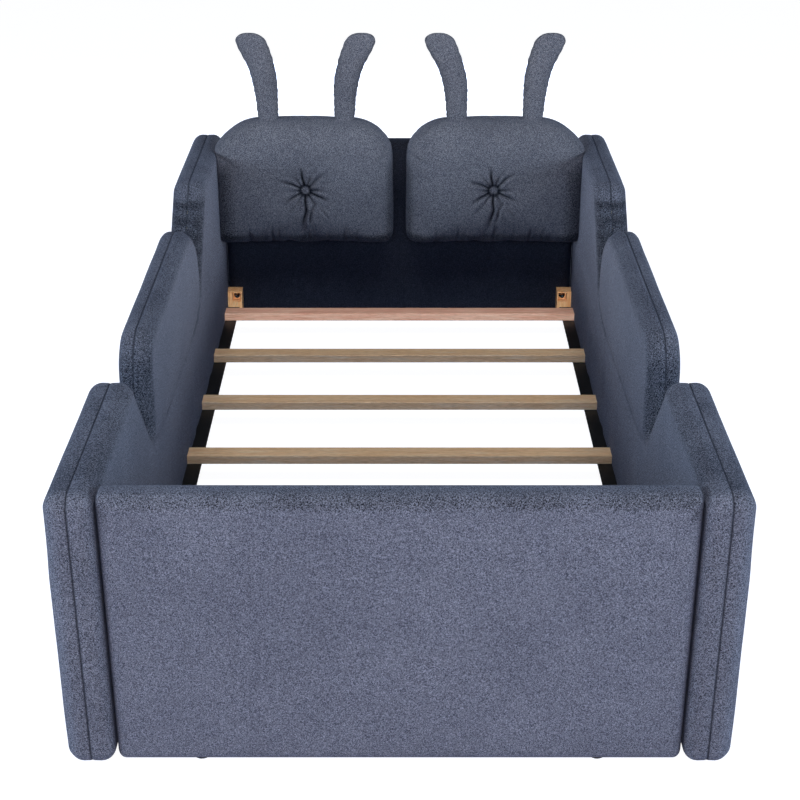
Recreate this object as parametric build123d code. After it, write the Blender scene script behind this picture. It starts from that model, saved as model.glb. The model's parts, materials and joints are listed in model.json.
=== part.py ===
from build123d import *
from math import cos, radians, sin, sqrt
import os

# Upholstered floor bed, in millimetres. +Z is up, +Y runs from the foot to the head, and the
# origin is on the floor under the middle of the bed. Left is the -X side, seen from the foot.

# Mattress that the bed is made for, and the play beside it
mattress_width = 990
mattress_length = 1905
side_play = 8
end_play = 2

# Heights above the floor
side_height = 543
footboard_drop = 2
headboard_drop = 7
glide_height = 4
slat_top = 75

# Upholstered panels
side_thickness = 82
petal_thickness = 62
end_thickness = 65
end_setback = 8
panel_joint_gap = 1
fabric = 1.5
foam_ease = 0.3
board_thickness = 5
side_face_foam = 14
side_edge_foam = 18
end_face_foam = 10
end_edge_foam = 14

# Side panel outline: a low body with a front, a middle and a rear petal
front_petal_length = 453
rear_petal_length = 465
front_slope_run = 182
rear_slope_run = 214
notch_depth = 214
petal_root = 70
side_foot_radius = 27
side_end_radius = 28
front_slope_radius = 27
rear_slope_radius = 50
notch_radius = 6
petal_front_radius = 82
petal_rear_radius = 196
side_inner_edge = 24
side_outer_edge = 26
petal_outer_edge = 17

# Footboard and headboard outline
end_top_radius = 25
end_foot_radius = 25
end_edge = 24

# Wooden battens inside the panels
batten_width = 60
batten_drop = 15
low_post_count = 3
end_post_count = 2

# Slats and the angles that carry them
slat_count = 7
slat_width = 45
slat_height = 22
slat_end_gap = 98.5
slat_end_play = 3
slat_edge_radius = 2
ledge_flange = 36
ledge_height = 38
ledge_gauge = 3
ledge_end_play = 2
ledge_screw_count = 6
ledge_screw_end = 120

# Corner blocks that join the panels
block_width = 44
block_depth = 38
block_height = 85
pocket_width = 25
pocket_height = 27
pocket_depth = 22
pocket_inner_wall = 3
pocket_top_wall = 4

# Machine bolts and tee nuts
bolt_radius = 4
bolt_head_radius = 6.5
bolt_head_height = 8
bolt_flange_radius = 9
bolt_flange = 1.6
bolt_socket_radius = 3.4
bolt_socket_depth = 4.5
bolt_play = 0.2
tee_barrel_radius = 5.2
tee_barrel_length = 10
tee_flange_radius = 10
tee_flange = 1.5
tee_play = 0.1

# Wood screws through blocks and angles, and short screws up into the slats
screw_radius = 2
screw_head_radius = 4.5
screw_head_height = 3
screw_bite = 30
screw_play = 0.1
screw_pocket_margin = 9
screw_foot_margin = 25
slat_screw_bite = 14
slat_screw_inset = 15

# Nail-on floor glides
glide_radius = 15
glide_nail_radius = 1.5
glide_nail_length = 42
glide_nail_offset = 9
glide_end_inset = 150

# Back cushions and their tapes
cushion_width = 483
cushion_height = 350
cushion_thickness = 140
cushion_bottom = 281
cushion_side_clearance = 1.5
cushion_top_radius = 128
cushion_foot_radius = 42
cushion_pull_in = 6
cushion_crown_rise = 3
cushion_seam_depth = 63
crown_reach = 92
back_reach = 46
crown_steps = 7
back_steps = 4
tape_thickness = 1.5
tape_gap = 0.3
tape_width = 50
tape_height = 190
tape_spacing = 260
tape_bottom = 320

# Button tuft of a cushion
tuft_height = 156
tuft_radius = 62
tuft_depth = 27
tuft_floor_radius = 17
crease_width = 15
crease_depth = 9
crease_up = 78
crease_down = 112
button_radius = 15
button_thickness = 11
back_button_radius = 13
back_button_thickness = 4
back_button_play = 0.5
tie_radius = 1
tie_play = 0.2

# Stuffed ears sewn into a cushion's top
ear_spacing = 200
ear_height = 230
ear_width = 55
ear_thickness = 34
ear_sway = 47
ear_seat_depth = 5
ear_seat_play = 0.8

# How full the cushion's edges are: 2 is an ellipse, more is boxier
crown_power = 2.5

# One overrun serves every cut
overrun = 1

# Places that follow from the sizes above
footboard_height = side_height - footboard_drop
headboard_height = side_height - headboard_drop
half_inside = mattress_width / 2 + side_play
inside_length = mattress_length + 2 * (block_depth + end_play)
half_inside_length = inside_length / 2
side_length = inside_length + 2 * (end_thickness + end_setback)
end_width = 2 * (half_inside - panel_joint_gap)
slat_bottom = slat_top - slat_height
block_bottom = slat_bottom - ledge_height
block_top = block_bottom + block_height
block_inner_x = half_inside - block_width
block_front_y = half_inside_length - block_depth
pocket_middle_z = block_top - pocket_top_wall - pocket_height / 2
bolt_x = block_inner_x + pocket_inner_wall + pocket_width / 2
block_middle_y = half_inside_length - block_depth / 2
cushion_back_y = half_inside_length - 2 * tape_thickness - tape_gap
cushion_middle_x = half_inside - cushion_side_clearance - cushion_width / 2
low_rail_top = side_height - notch_depth - (fabric + side_edge_foam) * (1 + sqrt(2))

# What a straight corner loses to a rounded one, as a share of the radius
corner_share = 1 - sqrt(2) / 2

# Ear from its seat to its tip: shares of its height, width, thickness and sway
ear_height_shares = (0, 0.16, 0.33, 0.5, 0.66, 0.8, 0.9, 0.96, 1)
ear_width_shares = (1, 1.05, 1.13, 1.24, 1.35, 1.46, 1.43, 1.16, 0.55)
ear_thickness_shares = (1, 1.1, 1.18, 1.2, 1.14, 1, 0.82, 0.6, 0.3)
ear_sway_shares = (0, 0.03, 0.08, 0.2, 0.42, 0.7, 0.9, 0.99, 1)


def inset_polygon(points, inset):
    """Move every side of a counter-clockwise polygon inwards and return its new corners."""
    corners = []
    for index, point in enumerate(points):
        before = Vector(*point) - Vector(*points[index - 1])
        after = Vector(*points[(index + 1) % len(points)]) - Vector(*point)
        before = before.normalized()
        after = after.normalized()
        normal_sum = Vector(-before.Y - after.Y, before.X + after.X)
        spread = 1 + before.dot(after)
        shift = normal_sum * (inset / spread)
        corners.append((point[0] + shift.X, point[1] + shift.Y))
    return corners


def rounded_outline(points, corner_radii, inset):
    """Make a flat face from a polygon with rounded corners, drawn in by the inset."""
    corners = inset_polygon(points, inset)
    fitted = []
    for index, radius in enumerate(corner_radii):
        before = Vector(*points[index]) - Vector(*points[index - 1])
        after = Vector(*points[(index + 1) % len(points)]) - Vector(*points[index])
        hollow = before.X * after.Y - before.Y * after.X < 0
        fitted.append(radius + inset if hollow else max(radius - inset, 0))
    return make_face(FilletPolyline(*corners, radius=fitted, close=True))


def side_outline(inset):
    """Whole side panel seen from the bed: the body and its three petals."""
    start = -side_length / 2
    end = side_length / 2
    valley = side_height - notch_depth
    points = [
        (start, glide_height),
        (end, glide_height),
        (end, side_height),
        (end - rear_petal_length, side_height),
        (end - rear_petal_length - rear_slope_run, valley),
        (end - rear_petal_length - rear_slope_run, side_height),
        (start + front_petal_length + front_slope_run, side_height),
        (start + front_petal_length + front_slope_run, valley),
        (start + front_petal_length, side_height),
        (start, side_height),
    ]
    radii = [
        side_foot_radius,
        side_foot_radius,
        side_end_radius,
        rear_slope_radius,
        notch_radius,
        petal_rear_radius,
        petal_front_radius,
        notch_radius,
        front_slope_radius,
        side_end_radius,
    ]
    return rounded_outline(points, radii, inset)


def body_outline(inset):
    """Side panel without its middle petal: the part that has the full thickness."""
    start = -side_length / 2
    end = side_length / 2
    valley = side_height - notch_depth
    points = [
        (start, glide_height),
        (end, glide_height),
        (end, side_height),
        (end - rear_petal_length, side_height),
        (end - rear_petal_length - rear_slope_run, valley),
        (start + front_petal_length + front_slope_run, valley),
        (start + front_petal_length, side_height),
        (start, side_height),
    ]
    radii = [
        side_foot_radius,
        side_foot_radius,
        side_end_radius,
        rear_slope_radius,
        notch_radius,
        notch_radius,
        front_slope_radius,
        side_end_radius,
    ]
    return rounded_outline(points, radii, inset)


def petal_outline(inset):
    """Middle petal, with the root that it keeps inside the body."""
    front = -side_length / 2 + front_petal_length + front_slope_run
    rear = side_length / 2 - rear_petal_length - rear_slope_run
    root = side_height - notch_depth - petal_root
    points = [(front, root), (rear, root), (rear, side_height), (front, side_height)]
    radii = [side_foot_radius, side_foot_radius, petal_rear_radius, petal_front_radius]
    return rounded_outline(points, radii, inset)


def end_outline(height):
    """Return the outline function of a footboard or headboard of this height."""

    def outline(inset):
        left = -end_width / 2
        right = end_width / 2
        points = [(left, glide_height), (right, glide_height), (right, height), (left, height)]
        radii = [end_foot_radius, end_foot_radius, end_top_radius, end_top_radius]
        return rounded_outline(points, radii, inset)

    return outline


def raised(face, start, finish):
    """Extrude a face between two depths of a panel."""
    return extrude(Plane.XY.offset(start) * face, amount=finish - start)


def cushioned(face, start, finish, edge_radius):
    """Extrude a face from the seam to a panel's face and round the edge there."""
    body = raised(face, start, finish)
    faces = body.faces().sort_by(Axis.Z)
    far_face = faces[-1] if finish > start else faces[0]
    return fillet(far_face.edges(), edge_radius)


def panel_half(levels, seam, inset, skin, outward):
    """One half of a panel's padding: every level is an outline, a thickness and an edge radius."""
    whole = None
    for outline, thickness, edge_radius in levels:
        finish = thickness - skin if outward else skin
        level = cushioned(outline(inset), seam, finish, edge_radius - skin)
        whole = level if whole is None else whole + level
    return whole


def panel_core(levels, seam, inset, skin, outward):
    """Room for the boards and battens in one half of a panel."""
    whole = None
    for outline, thickness, _ in levels:
        finish = thickness - skin if outward else skin
        level = raised(outline(inset), seam, finish)
        whole = level if whole is None else whole + level
    return whole


def upholstery(inner_levels, outer_levels, face_foam, edge_foam):
    """Covers, foam and boards of a panel, lying flat with its inner face at depth zero."""
    thickness = outer_levels[0][1]
    seam = thickness / 2
    core_skin = fabric + face_foam
    core_inset = fabric + edge_foam
    pieces = {}
    for name, levels, outward in (("inner", inner_levels, False), ("outer", outer_levels, True)):
        cover = panel_half(levels, seam, 0, 0, outward)
        cover = cover - panel_half(levels, seam, fabric, fabric, outward)
        foam = panel_half(levels, seam, fabric + foam_ease, fabric, outward)
        foam = foam - panel_core(levels, seam, core_inset, core_skin, outward)
        far = thickness - core_skin if outward else core_skin
        near = far - board_thickness if outward else far + board_thickness
        pieces[name + "_cover"] = cover
        pieces[name + "_foam"] = foam
        pieces[name + "_board"] = raised(levels[0][0](core_inset), near, far)
    return pieces


def batten(low, high, depth_low, depth_high):
    """A straight batten between two corners of the panel's plane and two depths."""
    size_x = high[0] - low[0]
    size_y = high[1] - low[1]
    centre = ((low[0] + high[0]) / 2, (low[1] + high[1]) / 2, (depth_low + depth_high) / 2)
    return Pos(*centre) * Box(size_x, size_y, depth_high - depth_low)


def side_battens():
    """Battens of the right side panel, lying flat."""
    inset = fabric + side_edge_foam
    near = fabric + side_face_foam + board_thickness
    far = side_thickness - near
    petal_far = petal_thickness - fabric - side_face_foam
    bottom = glide_height + inset + side_foot_radius * corner_share
    top = side_height - inset - batten_drop
    front_shoulder = (petal_front_radius - fabric) * corner_share
    rear_shoulder = (petal_rear_radius - fabric) * corner_share
    petal_top = side_height - inset - rear_shoulder
    start = -side_length / 2 + inset
    end = side_length / 2 - inset
    front_post_end = -block_middle_y + batten_width / 2
    rear_post_start = block_middle_y - batten_width / 2
    low_rail_bottom = low_rail_top - batten_width
    rail_bottom = top - batten_width
    front_slope = -side_length / 2 + front_petal_length - batten_width / 2
    rear_slope = side_length / 2 - rear_petal_length + batten_width / 2
    petal_front = -side_length / 2 + front_petal_length + front_slope_run + inset + front_shoulder
    petal_rear = side_length / 2 - rear_petal_length - rear_slope_run - inset - rear_shoulder
    petal_rail_bottom = petal_top - batten_width
    battens = [
        batten((start, bottom), (front_post_end, top), near, far),
        batten((rear_post_start, bottom), (end, top), near, far),
        batten((front_post_end, bottom), (rear_post_start, bottom + batten_width), near, far),
        batten((front_post_end, low_rail_bottom), (rear_post_start, low_rail_top), near, far),
        batten((front_post_end, rail_bottom), (front_slope, top), near, far),
        batten((rear_slope, rail_bottom), (rear_post_start, top), near, far),
        batten((front_slope - batten_width, low_rail_top), (front_slope, rail_bottom), near, far),
        batten((rear_slope, low_rail_top), (rear_slope + batten_width, rail_bottom), near, far),
        batten((petal_front, petal_rail_bottom), (petal_rear, petal_top), near, petal_far),
    ]
    for post_start in (petal_front, petal_rear - batten_width):
        low = (post_start, low_rail_top)
        high = (post_start + batten_width, petal_rail_bottom)
        battens.append(batten(low, high, near, petal_far))
    low_post_pitch = (rear_post_start - front_post_end) / (low_post_count + 1)
    for index in range(low_post_count):
        middle = front_post_end + low_post_pitch * (index + 1)
        low = (middle - batten_width / 2, bottom + batten_width)
        high = (middle + batten_width / 2, low_rail_bottom)
        battens.append(batten(low, high, near, far))
    return battens


def end_battens(height):
    """Battens of a footboard or headboard, lying flat."""
    inset = fabric + end_edge_foam
    near = fabric + end_face_foam + board_thickness
    far = end_thickness - near
    bottom = glide_height + inset + end_foot_radius * corner_share
    top = height - inset - batten_drop
    side = end_width / 2 - inset
    post_inner = side - batten_width
    battens = [
        batten((-side, bottom), (-post_inner, top), near, far),
        batten((post_inner, bottom), (side, top), near, far),
        batten((-post_inner, bottom), (post_inner, bottom + batten_width), near, far),
        batten((-post_inner, top - batten_width), (post_inner, top), near, far),
    ]
    post_pitch = 2 * post_inner / (end_post_count + 1)
    for index in range(end_post_count):
        middle = -post_inner + post_pitch * (index + 1)
        low = (middle - batten_width / 2, bottom + batten_width)
        high = (middle + batten_width / 2, top - batten_width)
        battens.append(batten(low, high, near, far))
    return battens


def rod(start, direction, length, radius):
    """A round bar from a point along a direction."""
    return extrude(Plane(origin=start, z_dir=direction) * Circle(radius), amount=length)


def four_corners(shape):
    """Copies of a head-right shape at all four corners of the bed."""
    right = [shape, mirror(shape, about=Plane.XZ)]
    return right + [mirror(item, about=Plane.YZ) for item in right]


def both_sides(shape):
    """A right-hand shape and its copy on the left."""
    return [shape, mirror(shape, about=Plane.YZ)]


def drilled(shape, cutters):
    """Take drill holes out of a shape, solid by solid."""
    result = shape
    for cutter in cutters:
        result = result - cutter
    return result


def group(solids):
    """Separate solids that share one node."""
    return Compound(children=[solid for item in solids for solid in item.solids()])


def corner_bolt():
    """Socket-head bolt from the pocket of the head-right block into the headboard."""
    seat = block_front_y + pocket_depth
    length = half_inside_length + end_thickness - fabric - end_face_foam - board_thickness - seat
    head_start = (bolt_x, seat - bolt_flange - bolt_head_height, pocket_middle_z)
    flange_start = (bolt_x, seat - bolt_flange, pocket_middle_z)
    head = rod(head_start, (0, 1, 0), bolt_head_height, bolt_head_radius)
    flange = rod(flange_start, (0, 1, 0), bolt_flange, bolt_flange_radius)
    shank = rod((bolt_x, seat, pocket_middle_z), (0, 1, 0), length, bolt_radius)
    socket_plane = Plane(origin=head_start, z_dir=(0, 1, 0))
    socket = extrude(socket_plane * RegularPolygon(bolt_socket_radius, 6), amount=bolt_socket_depth)
    return head + flange + shank - socket


def bolt_hole():
    """Room for the corner bolt's shank."""
    seat = block_front_y + pocket_depth
    length = half_inside_length + end_thickness - fabric - end_face_foam - board_thickness - seat
    start = (bolt_x, seat - overrun, pocket_middle_z)
    return rod(start, (0, 1, 0), length + overrun, bolt_radius + bolt_play)


def tee_nut(play):
    """Tee nut behind the headboard's post, or the room for it."""
    back = half_inside_length + end_thickness - fabric - end_face_foam - board_thickness
    flange_start = (bolt_x, back - tee_flange - play, pocket_middle_z)
    barrel_start = (bolt_x, back - tee_flange - tee_barrel_length - play, pocket_middle_z)
    flange = rod(flange_start, (0, 1, 0), tee_flange + play, tee_flange_radius + play)
    barrel = rod(barrel_start, (0, 1, 0), tee_barrel_length, tee_barrel_radius + play)
    return flange + barrel


def block_screw_heights():
    """Heights of the two screws that hold a corner block."""
    pocket_bottom = pocket_middle_z - pocket_height / 2
    return (block_bottom + screw_foot_margin, pocket_bottom - screw_pocket_margin)


def wood_screw(start, direction, reach, play):
    """Screw whose head lies in the first part of its reach, or the hole for it."""
    head = rod(start, direction, screw_head_height + play, screw_head_radius + play)
    return head + rod(start, direction, reach + play, screw_radius + play)


def block_screws(play):
    """Both screws of the head-right block."""
    reach = block_width + fabric + side_face_foam + board_thickness + screw_bite
    screws = []
    for height in block_screw_heights():
        screws.append(wood_screw((block_inner_x, block_middle_y, height), (1, 0, 0), reach, play))
    return screws


def ledge_screws(play):
    """Screws through the right-hand angle into the side panel."""
    height = slat_bottom - ledge_height / 2
    start_x = half_inside - ledge_gauge - screw_head_height
    reach = screw_head_height + ledge_gauge + fabric + side_face_foam + board_thickness + screw_bite
    span = inside_length - 2 * ledge_screw_end
    screws = []
    for index in range(ledge_screw_count):
        place = -span / 2 + span * index / (ledge_screw_count - 1)
        screws.append(wood_screw((start_x, place, height), (1, 0, 0), reach, play))
    return screws


def slat_places():
    """Middle of each slat along the bed, from the foot."""
    reach = half_inside_length - slat_end_gap - slat_width / 2
    return [-reach + 2 * reach * index / (slat_count - 1) for index in range(slat_count)]


def slat_screws(play):
    """Screws from below the right-hand angle into the slats."""
    start_z = slat_bottom - ledge_gauge - screw_head_height
    reach = screw_head_height + ledge_gauge + slat_screw_bite
    x = half_inside - slat_end_play - slat_screw_inset
    return [wood_screw((x, place, start_z), (0, 0, 1), reach, play) for place in slat_places()]


def glide(x, y):
    """Round glide under a panel."""
    return rod((x, y, 0), (0, 0, 1), glide_height, glide_radius)


def glide_nail(x, y, play):
    """Nail of a glide, or the hole for it."""
    return rod((x, y, glide_height - play), (0, 0, 1), glide_nail_length + play, glide_nail_radius + play)


def glide_places():
    """Glides and their nails under the right side panel and the headboard."""
    side_x = half_inside + side_thickness / 2
    side_y = side_length / 2 - glide_end_inset
    end_x = half_inside - glide_end_inset
    end_y = half_inside_length + end_thickness / 2
    return [
        ((side_x, side_y), (side_x - glide_nail_offset, side_y)),
        ((end_x, end_y), (end_x, end_y - glide_nail_offset)),
    ]


def slat(place):
    """One slat with softened long edges."""
    length = 2 * (half_inside - slat_end_play)
    bar = Pos(0, place, slat_top - slat_height / 2) * Box(length, slat_width, slat_height)
    return fillet(bar.edges().filter_by(Axis.X), slat_edge_radius)


def ledge():
    """Right-hand steel angle: its flange carries the slats, its web lies on the side panel."""
    length = 2 * (block_front_y - ledge_end_play)
    flange_x = half_inside - ledge_flange / 2
    web_x = half_inside - ledge_gauge / 2
    flange = Pos(flange_x, 0, slat_bottom - ledge_gauge / 2) * Box(ledge_flange, length, ledge_gauge)
    web_height = ledge_height - ledge_gauge
    web = Pos(web_x, 0, slat_bottom - ledge_gauge - web_height / 2) * Box(ledge_gauge, length, web_height)
    return flange + web


def corner_block():
    """Head-right wooden block with a square pocket for the bolt's head."""
    centre = (half_inside - block_width / 2, block_middle_y, block_bottom + block_height / 2)
    block = Pos(*centre) * Box(block_width, block_depth, block_height)
    depth = pocket_depth + overrun
    pocket_y = block_front_y + pocket_depth - depth / 2
    pocket = Pos(bolt_x, pocket_y, pocket_middle_z) * Box(pocket_width, depth, pocket_height)
    return block - pocket


def cushion_outline(inset, depth):
    """Front view of a cushion at one depth: sides pulled in between the corners."""
    half_width = cushion_width / 2 - inset
    bottom = inset
    top = cushion_height - inset
    top_radius = cushion_top_radius * half_width / (cushion_width / 2)
    foot_radius = cushion_foot_radius * half_width / (cushion_width / 2)
    low = bottom + foot_radius
    high = top - top_radius
    foot_x = half_width - foot_radius
    top_x = half_width - top_radius
    side_x = half_width - cushion_pull_in
    middle = (low + high) / 2
    foot_bend = (half_width - foot_radius * corner_share, bottom + foot_radius * corner_share)
    top_bend = (half_width - top_radius * corner_share, top - top_radius * corner_share)
    points = [
        ((-foot_x, bottom), (0, bottom + cushion_pull_in), (foot_x, bottom)),
        ((foot_x, bottom), foot_bend, (half_width, low)),
        ((half_width, low), (side_x, middle), (half_width, high)),
        ((half_width, high), top_bend, (top_x, top)),
        ((top_x, top), (0, top + cushion_crown_rise), (-top_x, top)),
        ((-top_x, top), (-top_bend[0], top_bend[1]), (-half_width, high)),
        ((-half_width, high), (-side_x, middle), (-half_width, low)),
        ((-half_width, low), (-foot_bend[0], foot_bend[1]), (-foot_x, bottom)),
    ]
    edges = [ThreePointArc(*arc) for arc in points]
    plane = Plane(origin=(0, -depth, 0), x_dir=(1, 0, 0), z_dir=(0, -1, 0))
    return plane * make_face(Wire(edges))


def swell(step, steps):
    """Shares of the pull-in and of the depth on a full, boxy quarter curve."""
    angle = radians(90) * step / steps
    fullness = 2 / crown_power
    return 1 - cos(angle) ** fullness, sin(angle) ** fullness


def cushion_blank():
    """Crowned cushion with its back at y zero and its bottom at z zero."""
    sections = []
    for step in range(back_steps, 0, -1):
        inset_part, depth_part = swell(step, back_steps)
        depth = cushion_seam_depth * (1 - depth_part)
        sections.append(cushion_outline(back_reach * inset_part, depth))
    front_depth = cushion_thickness - cushion_seam_depth
    for step in range(crown_steps + 1):
        inset_part, depth_part = swell(step, crown_steps)
        depth = cushion_seam_depth + front_depth * depth_part
        sections.append(cushion_outline(crown_reach * inset_part, depth))
    return loft(sections, ruled=True)


def tuft():
    """Bell-shaped hollow that the button pulls into a cushion's front."""
    front = cushion_thickness + overrun
    floor = cushion_thickness - tuft_depth
    shoulder = (tuft_floor_radius + tuft_radius) / 2
    waist = floor + tuft_depth * sin(radians(45)) / sqrt(2)
    lines = [
        Line((0, floor), (tuft_floor_radius, floor)),
        ThreePointArc((tuft_floor_radius, floor), (shoulder, waist + tuft_depth / 5), (tuft_radius, front)),
        Line((tuft_radius, front), (0, front)),
        Line((0, front), (0, floor)),
    ]
    profile = make_face(Wire(lines))
    bell = revolve(profile, Axis.Y)
    return Pos(0, 0, tuft_height) * mirror(bell, about=Plane.XZ)


def crease(length, direction):
    """Fold that runs from the button up or down a cushion's front."""
    near = cushion_thickness - tuft_depth / 2
    sections = []
    for place, width, floor in (
        (0, crease_width, near - crease_depth),
        (length, crease_width / 3, cushion_thickness - crease_depth / 3),
    ):
        front = cushion_thickness + overrun
        corners = [(-width / 2, -front), (0, -floor), (width / 2, -front)]
        plane = Plane(origin=(0, 0, tuft_height + direction * place), x_dir=(1, 0, 0), z_dir=(0, 0, 1))
        sections.append(plane * make_face(Polyline(*corners, close=True)))
    return loft(sections)


def oval(width, thickness, x, z):
    """Flat oval of four arcs, for a section of an ear."""
    points = []
    for step in range(8):
        angle = radians(45 * step)
        points.append((width / 2 * cos(angle), thickness / 2 * sin(angle)))
    arcs = []
    for start in (0, 2, 4, 6):
        arcs.append(ThreePointArc(points[start], points[start + 1], points[(start + 2) % 8]))
    return Pos(x, 0, z) * make_face(Wire(arcs))


def ear():
    """Stuffed ear that sways towards +X, with its seat at z zero."""
    sections = []
    tables = (ear_height_shares, ear_width_shares, ear_thickness_shares, ear_sway_shares)
    for height, width, thickness, sway in zip(*tables):
        section = oval(ear_width * width, ear_thickness * thickness, ear_sway * sway, ear_height * height)
        sections.append(section)
    return loft(sections)


def cushion_pieces():
    """A cushion and what is sewn to it, with its back at y zero and its middle at x zero."""
    seat_z = cushion_height + cushion_crown_rise - ear_seat_depth
    ear_y = -cushion_thickness / 2
    body = cushion_blank() - tuft() - crease(crease_up, 1) - crease(crease_down, -1)
    for side in (-1, 1):
        seat_height = ear_seat_depth + ear_seat_play + overrun
        seat_width = ear_width + 2 * ear_seat_play
        seat_thickness = ear_thickness + 2 * ear_seat_play
        place = Pos(side * ear_spacing / 2, ear_y, seat_z - ear_seat_play + seat_height / 2)
        body = body - place * Box(seat_width, seat_thickness, seat_height)
    recess_radius = back_button_radius + back_button_play
    body = body - rod((0, overrun, tuft_height), (0, -1, 0), back_button_thickness + overrun, recess_radius)
    body = body - rod((0, 0, tuft_height), (0, -1, 0), cushion_thickness, tie_radius + tie_play)

    tie_front = cushion_thickness - tuft_depth
    tie_length = tie_front - back_button_thickness
    tie = rod((0, -back_button_thickness, tuft_height), (0, -1, 0), tie_length, tie_radius)
    rim = tie_front + button_thickness / 3
    apex = tie_front + button_thickness
    dome_rise = apex - rim
    dome_radius = (button_radius**2 + dome_rise**2) / (2 * dome_rise)
    shoulder_x = button_radius / 2
    shoulder_y = apex - dome_radius + sqrt(dome_radius**2 - shoulder_x**2)
    dome = [
        Line((0, tie_front), (button_radius, tie_front)),
        Line((button_radius, tie_front), (button_radius, rim)),
        ThreePointArc((button_radius, rim), (shoulder_x, shoulder_y), (0, apex)),
        Line((0, apex), (0, tie_front)),
    ]
    front_button = revolve(make_face(Wire(dome)), Axis.Y)
    front_button = Pos(0, 0, tuft_height) * mirror(front_button, about=Plane.XZ)
    back_button = rod((0, 0, tuft_height), (0, -1, 0), back_button_thickness, back_button_radius)
    right_ear = Pos(ear_spacing / 2, ear_y, seat_z) * ear()
    tapes = []
    for side in (-1, 1):
        middle_z = tape_bottom - cushion_bottom + tape_height / 2
        place = Pos(side * tape_spacing / 2, tape_thickness / 2, middle_z)
        tapes.append(place * Box(tape_width, tape_thickness, tape_height))
    return {
        "": body,
        "_right_ear": right_ear,
        "_left_ear": mirror(right_ear, about=Plane.YZ),
        "_buttons": group([front_button, back_button]),
        "_tuft_tie": tie,
        "_hook_tapes": group(tapes),
    }


def loop_tapes():
    """Loop tapes glued to the headboard behind both cushions."""
    tapes = []
    for cushion_x in (-cushion_middle_x, cushion_middle_x):
        for side in (-1, 1):
            x = cushion_x + side * tape_spacing / 2
            place = Pos(x, half_inside_length - tape_thickness / 2, tape_bottom + tape_height / 2)
            tapes.append(place * Box(tape_width, tape_thickness, tape_height))
    return tapes


def build_parts():
    """Return every node's shape by name."""
    nodes = {}
    side_plane = Plane.YZ.offset(half_inside)
    head_plane = Plane(origin=(0, half_inside_length, 0), x_dir=(-1, 0, 0), z_dir=(0, 1, 0))
    side_glide, end_glide = glide_places()

    side_holes = block_screws(screw_play) + ledge_screws(screw_play)
    side_holes = side_holes + [mirror(hole, about=Plane.XZ) for hole in block_screws(screw_play)]
    side_nail = glide_nail(*side_glide[1], screw_play)
    side_holes = side_holes + [side_nail, mirror(side_nail, about=Plane.XZ)]
    inner_levels = [(side_outline, side_thickness, side_inner_edge)]
    outer_levels = [
        (body_outline, side_thickness, side_outer_edge),
        (petal_outline, petal_thickness, petal_outer_edge),
    ]
    side = upholstery(inner_levels, outer_levels, side_face_foam, side_edge_foam)
    side["frame"] = group(side_battens())
    for name, piece in side.items():
        placed = side_plane * piece
        if not name.startswith("outer"):
            placed = group([drilled(solid, side_holes) for solid in placed.solids()])
        nodes["right_side_" + name] = placed
        nodes["left_side_" + name] = mirror(placed, about=Plane.YZ)

    end_nail = glide_nail(*end_glide[1], screw_play)
    end_holes = both_sides(bolt_hole()) + both_sides(tee_nut(tee_play)) + both_sides(end_nail)
    for board, height in (("headboard", headboard_height), ("footboard", footboard_height)):
        levels = [(end_outline(height), end_thickness, end_edge)]
        end = upholstery(levels, levels, end_face_foam, end_edge_foam)
        end["frame"] = group(end_battens(height))
        for name, piece in end.items():
            placed = head_plane * piece
            if not name.startswith("outer"):
                placed = group([drilled(solid, end_holes) for solid in placed.solids()])
            if board == "footboard":
                placed = mirror(placed, about=Plane.XZ)
            nodes[board + "_" + name] = placed

    slat_holes = [hole for screw in slat_screws(screw_play) for hole in both_sides(screw)]
    for index, place in enumerate(slat_places()):
        nodes["slat_" + str(index + 1)] = drilled(slat(place), slat_holes[2 * index : 2 * index + 2])
    right_ledge = drilled(ledge(), slat_screws(screw_play) + ledge_screws(screw_play))
    nodes["slat_ledge_right"] = right_ledge
    nodes["slat_ledge_left"] = mirror(right_ledge, about=Plane.YZ)

    block = drilled(corner_block(), block_screws(screw_play) + [bolt_hole()])
    corners = ("head_right", "foot_right", "head_left", "foot_left")
    for corner, shape in zip(corners, four_corners(block)):
        nodes["corner_block_" + corner] = shape
    nodes["corner_bolts"] = group(four_corners(corner_bolt()))
    nodes["corner_tee_nuts"] = group(four_corners(tee_nut(0) - bolt_hole()))
    screws = [copy for screw in block_screws(0) for copy in four_corners(screw)]
    screws = screws + [copy for screw in ledge_screws(0) for copy in both_sides(screw)]
    nodes["block_and_ledge_screws"] = group(screws)
    nodes["slat_screws"] = group([copy for screw in slat_screws(0) for copy in both_sides(screw)])
    glides = []
    for (disc_x, disc_y), (nail_x, nail_y) in (side_glide, end_glide):
        glides = glides + four_corners(glide(disc_x, disc_y) + glide_nail(nail_x, nail_y, 0))
    nodes["floor_glides"] = group(glides)

    nodes["headboard_loop_tapes"] = group(loop_tapes())
    pieces = cushion_pieces()
    for name, x in (("left_cushion", -cushion_middle_x), ("right_cushion", cushion_middle_x)):
        for suffix, piece in pieces.items():
            nodes[name + suffix] = Pos(x, cushion_back_y, cushion_bottom) * piece
    return nodes


os.makedirs("parts", exist_ok=True)
for node_name, node_shape in build_parts().items():
    export_step(node_shape, "parts/" + node_name + ".step")
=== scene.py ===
import itertools
import json
import math

import bmesh
import bpy
import numpy as np
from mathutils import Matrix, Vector
from mathutils.geometry import delaunay_2d_cdt

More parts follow.
